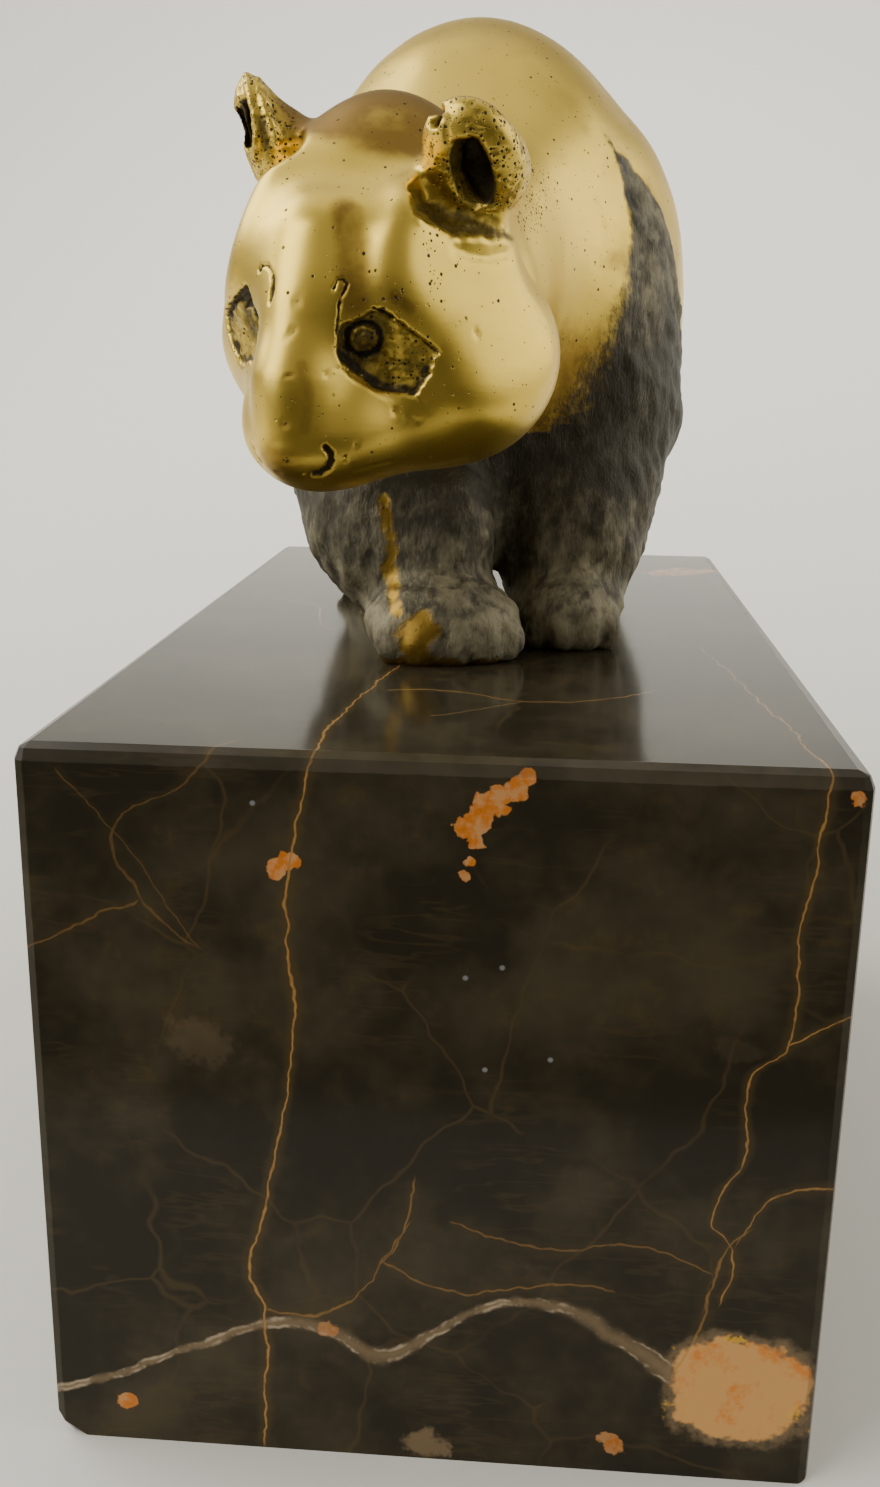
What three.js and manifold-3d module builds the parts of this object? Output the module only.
// A bronze panda that walks along a block of polished marble, with its head turned and lowered.
// Millimetres, +Z up. The figure faces -Y, and the origin is the middle of the block's underside.

import * as THREE from "three";
import { ConvexGeometry } from "three/addons/geometries/ConvexGeometry.js";
import { triTable } from "three/addons/objects/MarchingCubes.js";
import { mergeVertices } from "three/addons/utils/BufferGeometryUtils.js";
import Module from "manifold-3d";

const { abs, hypot, max, min } = Math;

// Driving sizes, in millimetres
const plinthLength = 150;
const plinthWidth = 85;
const plinthHeight = 82;
const topBevel = 1.7; // on the block's four top edges
const cornerBevel = 1.2; // on the block's four upright edges
const figureHeight = 82; // the measure of the figure, whose hump stands 98.5 hundredths of it above the soles
const pawSetback = 40; // from the block's front face to the leading paw

// The figure's pose, proportions and carving are all hundredths of its height.
const hundredth = figureHeight / 100;
const bodyStep = 5; // spacing of the lattice that the trunk and legs are meshed on
const headStep = 2.2; // and the head's, which is finer
const smoothingRounds = 6;
const toeCount = 5;
const toeFan = 112; // degrees from the first toe to the last
const toeWidth = 0.3; // these four are shares of the paw's own width and length
const toeLength = 0.42;
const toeSpread = 0.74;
const toeReach = 0.6;
const toeHeight = 4.2; // half of a toe's height, in hundredths
const toeLift = 3.2;

const wasm = await Module();
wasm.setup();

// Fields: functions of x, y and z that are negative inside a shape, zero on its skin and positive outside

function turned([aboutX, aboutY, aboutZ]) {
  const degrees = [aboutX, aboutY, aboutZ].map(THREE.MathUtils.degToRad);
  return new THREE.Matrix4().makeRotationFromEuler(new THREE.Euler(...degrees, "ZYX"));
}

// A field seen in a frame of its own, which stands at an origin and is turned about X, then Y, then Z.
function placed(field, [ox, oy, oz], turn) {
  const m = turned(turn).elements;
  return (x, y, z) => {
    const dx = x - ox;
    const dy = y - oy;
    const dz = z - oz;
    return field(
      m[0] * dx + m[1] * dy + m[2] * dz,
      m[4] * dx + m[5] * dy + m[6] * dz,
      m[8] * dx + m[9] * dy + m[10] * dz,
    );
  };
}

function ellipsoid(centre, [rx, ry, rz], turn = [0, 0, 0]) {
  const round = (x, y, z) => {
    const reach = hypot(x / rx, y / ry, z / rz);
    const slope = hypot(x / rx ** 2, y / ry ** 2, z / rz ** 2);
    return reach < 1e-6 ? -min(rx, ry, rz) : (reach * (reach - 1)) / slope;
  };
  return placed(round, centre, turn);
}

// A limb tapers from one radius to another between two joints.
function limb([ax, ay, az], [bx, by, bz], radiusA, radiusB) {
  const ex = bx - ax;
  const ey = by - ay;
  const ez = bz - az;
  const square = ex * ex + ey * ey + ez * ez;
  return (x, y, z) => {
    const along = ((x - ax) * ex + (y - ay) * ey + (z - az) * ez) / square;
    const t = min(1, max(0, along));
    const away = hypot(x - ax - t * ex, y - ay - t * ey, z - az - t * ez);
    return away - (radiusA + t * (radiusB - radiusA));
  };
}

// The smaller of two values, rounded off where they are within a width of each other.
function softMin(a, b, width) {
  const near = max(width - abs(a - b), 0) / width;
  return min(a, b) - (near * near * width) / 4;
}

function blend(width, ...fields) {
  return (x, y, z) => {
    let value = fields[0](x, y, z);
    for (let i = 1; i < fields.length; i += 1) value = softMin(value, fields[i](x, y, z), width);
    return value;
  };
}

function carve(width, field, ...tools) {
  return (x, y, z) => {
    let value = field(x, y, z);
    for (const tool of tools) value = -softMin(-value, tool(x, y, z), width);
    return value;
  };
}

// Trunk, neck and legs, seen from the front: left and right are the viewer's

const trunk = blend(
  13,
  ellipsoid([0.5, 29.6, 56.7], [33.8, 44.2, 39]), // barrel
  ellipsoid([0, 54, 50], [31, 27, 37]), // rump
  ellipsoid([-1, 3, 68], [24.6, 26, 30.5]), // shoulder hump
  ellipsoid([0, -4, 39], [22, 19, 24]), // chest
  ellipsoid([-20, 2, 44], [12.5, 19, 24]), // shoulder blades
  ellipsoid([21.5, 5, 47.5], [10.6, 19.2, 29]),
);
const neck = limb([-2, -4, 67], [-8, -36, 54.5], 23.5, 18.5);
const frontLegs = [
  limb([-18.5, -4, 37], [-13, -18, 21], 15, 12.5),
  limb([-13, -18, 21], [-6, -24, 8], 12.5, 10),
  limb([18.5, 2, 36], [16.5, -8, 18], 14, 10.5),
  limb([16.5, -8, 18], [16, -11, 8], 10.5, 8.5),
];
const forearm = ellipsoid([-3.5, -26, 19], [7, 7, 10.5]); // stands out in front of the leading leg
const hindLegs = [
  ellipsoid([-18, 50, 36], [15.5, 21, 26]),
  ellipsoid([18, 58, 36], [15.5, 20, 26]),
  limb([-19, 44, 24], [-18, 40, 9], 14, 10.5),
  limb([18, 64, 24], [17, 65, 9], 14, 10.5),
];
// Each paw stands at a place on the ground and is as wide, long and high as half[] says, to each side of it.
const PAWS = [
  { at: [-3.5, -31], half: [12.5, 10, 7.5], turn: 18 },
  { at: [16.5, -16], half: [8.5, 10.5, 7], turn: -8 },
  { at: [-18, 32], half: [10, 13, 7], turn: 0 },
  { at: [17, 57], half: [10, 13, 7], turn: 0 },
];
const pawLift = 5.5; // of a paw's middle above the ground
const paws = PAWS.map(({ at, half, turn }) => ellipsoid([...at, pawLift], half, [0, 0, turn]));
const tail = ellipsoid([0, 80, 50], [7, 6, 10], [25, 0, 0]);
const body = blend(3, blend(9, trunk, neck, ...frontLegs, ...hindLegs), forearm, ...paws, tail);

// The head, in its own frame: the face looks along -Y, and the centre is the middle of the skull

const headCentre = [-9.5, -50, 52.5];
const headTurn = [22, 10, -24];

function mirrored(make) {
  return [make(-1), make(1)];
}

const skull = blend(
  6,
  ellipsoid([-2.5, 0, 3.7], [16.5, 19.8, 18]),
  ...mirrored((side) => ellipsoid([side * 11.5 + 0.9, -3, -4.3], [12.4, 15, 13.2])), // cheeks
  ellipsoid([0, -12, 6], [12, 9, 10]), // forehead
  ellipsoid([1.2, -10.2, -9.4], [13.5, 9.6, 7.5]), // jaw
  limb([-2, 5.5, 2.2], [-7, 25, -2], 13.6, 11.6), // nape, which ends inside the neck
  ...mirrored((side) => ellipsoid([side * 10.7, -6.6, 10], [8.7, 11.6, 10.6])), // temples
  ellipsoid([-3.6, 5.7, 11.9], [12.4, 11.9, 13.6]), // crown, between the ears and behind them
);
const muzzle = blend(
  3.5,
  limb([0, -13, -4.8], [1.4, -20.8, -7.2], 10.9, 8),
  ellipsoid([1.7, -21.6, -7.4], [10.2, 9.3, 8]),
  limb([-0.5, -16.5, 14], [1.2, -25.5, 0], 3.6, 4.4), // bridge of the nose
  limb([1.2, -25.5, 0], [2.4, -29.5, -7], 4.4, 3),
);
// An ear is a cup on a thick root; the right one faces out of the picture and the left one is seen from its edge.
const ear = carve(
  1.2,
  blend(4, ellipsoid([0, 0, 0.5], [6.2, 3.5, 7.8]), ellipsoid([0, 3, -3.5], [5.5, 4.5, 6])),
  ellipsoid([0.3, -4.2, 0.2], [2.4, 6, 4.8]),
);
const EARS = [
  { at: [-18.8, 0, 19.1], turn: [13, -15, -48] },
  { at: [13.9, -2.4, 21.9], turn: [23, -3, 11] },
];
const ears = EARS.map(({ at, turn }) => placed(ear, at, turn));
const eyePatches = mirrored((side) => ellipsoid([side * 10.8, -20.4, 2.4], [6.6, 2.6, 4.8], [0, side * 35, side * 26]));
// The cheeks are filed flat on their upper outer sides.
const facets = mirrored((side) => (x, y, z) => 21.8 - (0.85 * side * x - 0.35 * y + 0.4 * z));
// Each ear stands on a shelf that is cut into the temple.
const shelves = mirrored((side) => ellipsoid([side * 15.2, -6, 18.4], [6.6, 6, 3.4], [0, side * 12, 0]));
const face = carve(2, blend(4, skull, muzzle), ...facets, ...shelves);
const head = placed(
  carve(1.2, blend(2, face, ...ears), ...eyePatches),
  headCentre,
  headTurn,
);

// Marching cubes: a lattice's cells are crossed by the skin, and its corners are then evened out and set on the skin

const CORNERS = [
  [0, 0, 0],
  [1, 0, 0],
  [1, 1, 0],
  [0, 1, 0],
  [0, 0, 1],
  [1, 0, 1],
  [1, 1, 1],
  [0, 1, 1],
];
const EDGES = [
  [0, 1],
  [1, 2],
  [2, 3],
  [3, 0],
  [4, 5],
  [5, 6],
  [6, 7],
  [7, 4],
  [0, 4],
  [1, 5],
  [2, 6],
  [3, 7],
];

function marchedMesh(field, low, high, step) {
  const counts = low.map((l, axis) => Math.ceil((high[axis] - l) / step) + 1);
  const [nx, ny, nz] = counts;
  const at = (i, j, k) => i + nx * (j + ny * k);
  const point = (i, j, k) => [low[0] + i * step, low[1] + j * step, low[2] + k * step];
  const values = new Float64Array(nx * ny * nz);
  for (let k = 0; k < nz; k += 1)
    for (let j = 0; j < ny; j += 1)
      for (let i = 0; i < nx; i += 1) values[at(i, j, k)] = field(...point(i, j, k));

  const points = [];
  const triangles = [];
  const crossings = new Map();
  const crossing = (a, b) => {
    const ia = at(...a);
    const ib = at(...b);
    const key = `${min(ia, ib)}:${max(ia, ib)}`;
    if (!crossings.has(key)) {
      const share = min(0.9, max(0.1, values[ia] / (values[ia] - values[ib])));
      const pa = point(...a);
      const pb = point(...b);
      crossings.set(key, points.length);
      points.push(pa.map((v, axis) => v + share * (pb[axis] - v)));
    }
    return crossings.get(key);
  };
  for (let k = 0; k < nz - 1; k += 1)
    for (let j = 0; j < ny - 1; j += 1)
      for (let i = 0; i < nx - 1; i += 1) {
        const corners = CORNERS.map(([a, b, c]) => [i + a, j + b, k + c]);
        const code = corners.reduce((sum, c, n) => sum + (values[at(...c)] < 0 ? 1 << n : 0), 0);
        for (let t = code * 16; triTable[t] !== -1; t += 3) {
          const corner = (n) => crossing(...EDGES[triTable[t + n]].map((e) => corners[e]));
          triangles.push([corner(0), corner(1), corner(2)]);
        }
      }
  return { points, triangles };
}

function setOnSkin(field, p, farthest) {
  const tiny = 0.01;
  const value = field(...p);
  const slope = [0, 1, 2].map((axis) => {
    const q = [...p];
    q[axis] += tiny;
    return (field(...q) - value) / tiny;
  });
  const steepness = max(1e-6, slope[0] ** 2 + slope[1] ** 2 + slope[2] ** 2);
  const move = max(-farthest, min(farthest, value / steepness));
  return p.map((v, axis) => v - move * slope[axis]);
}

function smoothed(field, { points, triangles }, step) {
  const neighbours = points.map(() => new Set());
  for (const t of triangles)
    for (let n = 0; n < 3; n += 1) {
      neighbours[t[n]].add(t[(n + 1) % 3]);
      neighbours[t[n]].add(t[(n + 2) % 3]);
    }
  let current = points;
  for (let round = 0; round < smoothingRounds; round += 1) {
    const evened = current.map((p, i) => {
      const around = [...neighbours[i]].map((n) => current[n]);
      return p.map((v, axis) => {
        const mean = around.reduce((sum, q) => sum + q[axis], 0) / around.length;
        return (v + mean) / 2;
      });
    });
    current = evened.map((p) => setOnSkin(field, p, step / 2));
  }
  return { points: current, triangles };
}

// Solids in millimetres, and the joins and cuts between them

function solidOf(points, triangles) {
  return new wasm.Manifold(
    new wasm.Mesh({
      numProp: 3,
      vertProperties: new Float32Array(points.flat().map((v) => v * hundredth)),
      triVerts: new Uint32Array(triangles.flat()),
    }),
  );
}

function carvedSolid(field, low, high, step) {
  const { points, triangles } = smoothed(field, marchedMesh(field, low, high, step), step);
  return solidOf(
    points,
    triangles.map(([a, b, c]) => [a, c, b]),
  );
}

// A three.js geometry, made in hundredths, as a solid
function solidFrom(geometry) {
  const bare = geometry.index ? geometry.toNonIndexed() : geometry.clone();
  bare.deleteAttribute("normal");
  bare.deleteAttribute("uv");
  const merged = mergeVertices(bare, 1e-4);
  const p = merged.attributes.position;
  const points = Array.from({ length: p.count }, (_, i) => [p.getX(i), p.getY(i), p.getZ(i)]);
  const index = [...merged.index.array];
  const triangles = [];
  for (let i = 0; i < index.length; i += 3) {
    const [a, b, c] = index.slice(i, i + 3);
    if (a !== b && b !== c && a !== c) triangles.push([a, b, c]);
  }
  return solidOf(points, triangles);
}

function toGeometry(solid) {
  const mesh = solid.getMesh();
  const geometry = new THREE.BufferGeometry();
  geometry.setAttribute("position", new THREE.BufferAttribute(mesh.vertProperties, 3));
  geometry.setIndex(new THREE.BufferAttribute(mesh.triVerts, 1));
  geometry.computeVertexNormals();
  return geometry;
}

// Toes stand side by side around the front of every paw.
function toes({ at, half, turn }) {
  const around = new THREE.Matrix4().makeRotationZ(THREE.MathUtils.degToRad(turn)).setPosition(...at, 0);
  return Array.from({ length: toeCount }, (_, i) => {
    const angle = THREE.MathUtils.degToRad(toeFan * (i / (toeCount - 1) - 0.5));
    const toe = new THREE.SphereGeometry(1, 8, 5).rotateX(Math.PI / 2);
    toe.scale(half[0] * toeWidth, half[1] * toeLength, toeHeight);
    toe.rotateZ(angle);
    toe.translate(half[0] * toeSpread * Math.sin(angle), -half[1] * toeReach * Math.cos(angle), toeLift);
    return solidFrom(toe.applyMatrix4(around));
  });
}

// The box that the soles are cut flat with, which reaches from under the paws up to the ground
function ground() {
  const depth = 30;
  const spread = 300;
  return solidFrom(new THREE.BoxGeometry(spread, spread, depth).translate(0, 0, -depth / 2));
}

function pandaMesh() {
  const bodySolid = carvedSolid(body, [-48, -64, -10], [48, 106, 110], bodyStep);
  const headSolid = carvedSolid(head, [-44, -98, 14], [30, -14, 96], headStep);
  const joined = PAWS.flatMap(toes).reduce((whole, toe) => whole.add(toe), bodySolid.add(headSolid));
  const cast = joined.subtract(ground());
  const bronze = new THREE.MeshStandardMaterial({ color: 0xc2a35a, roughness: 0.32, metalness: 1 });
  const mesh = new THREE.Mesh(toGeometry(cast), bronze);
  mesh.name = "panda";
  return mesh;
}

// The marble block: upright edges and top edges are bevelled, and the foot is left square

function plinthMesh() {
  const outline = (inset, z) => {
    const x = plinthWidth / 2 - inset;
    const y = plinthLength / 2 - inset;
    const cut = cornerBevel;
    const corner = [
      [x - cut, y],
      [x, y - cut],
    ];
    return corner.flatMap(([a, b]) =>
      [
        [a, b],
        [-a, b],
        [a, -b],
        [-a, -b],
      ].map(([px, py]) => new THREE.Vector3(px, py, z)),
    );
  };
  const points = [...outline(0, 0), ...outline(0, plinthHeight - topBevel), ...outline(topBevel, plinthHeight)];
  const marble = new THREE.MeshStandardMaterial({ color: 0x2a241b, roughness: 0.12, metalness: 0 });
  const mesh = new THREE.Mesh(new ConvexGeometry(points), marble);
  mesh.name = "plinth";
  return mesh;
}

// How far in front of the figure's own origin its leading paw stands, which the head doesn't count towards
function leadingReach(mesh) {
  const position = mesh.geometry.attributes.position;
  const low = Array.from({ length: position.count }, (_, i) => i).filter((i) => position.getZ(i) < pawLift * hundredth);
  return -min(...low.map((i) => position.getY(i)));
}

const panda = pandaMesh();
panda.position.set(0, -plinthLength / 2 + pawSetback + leadingReach(panda), plinthHeight);

const model = new THREE.Group();
model.add(plinthMesh(), panda);

export default model;
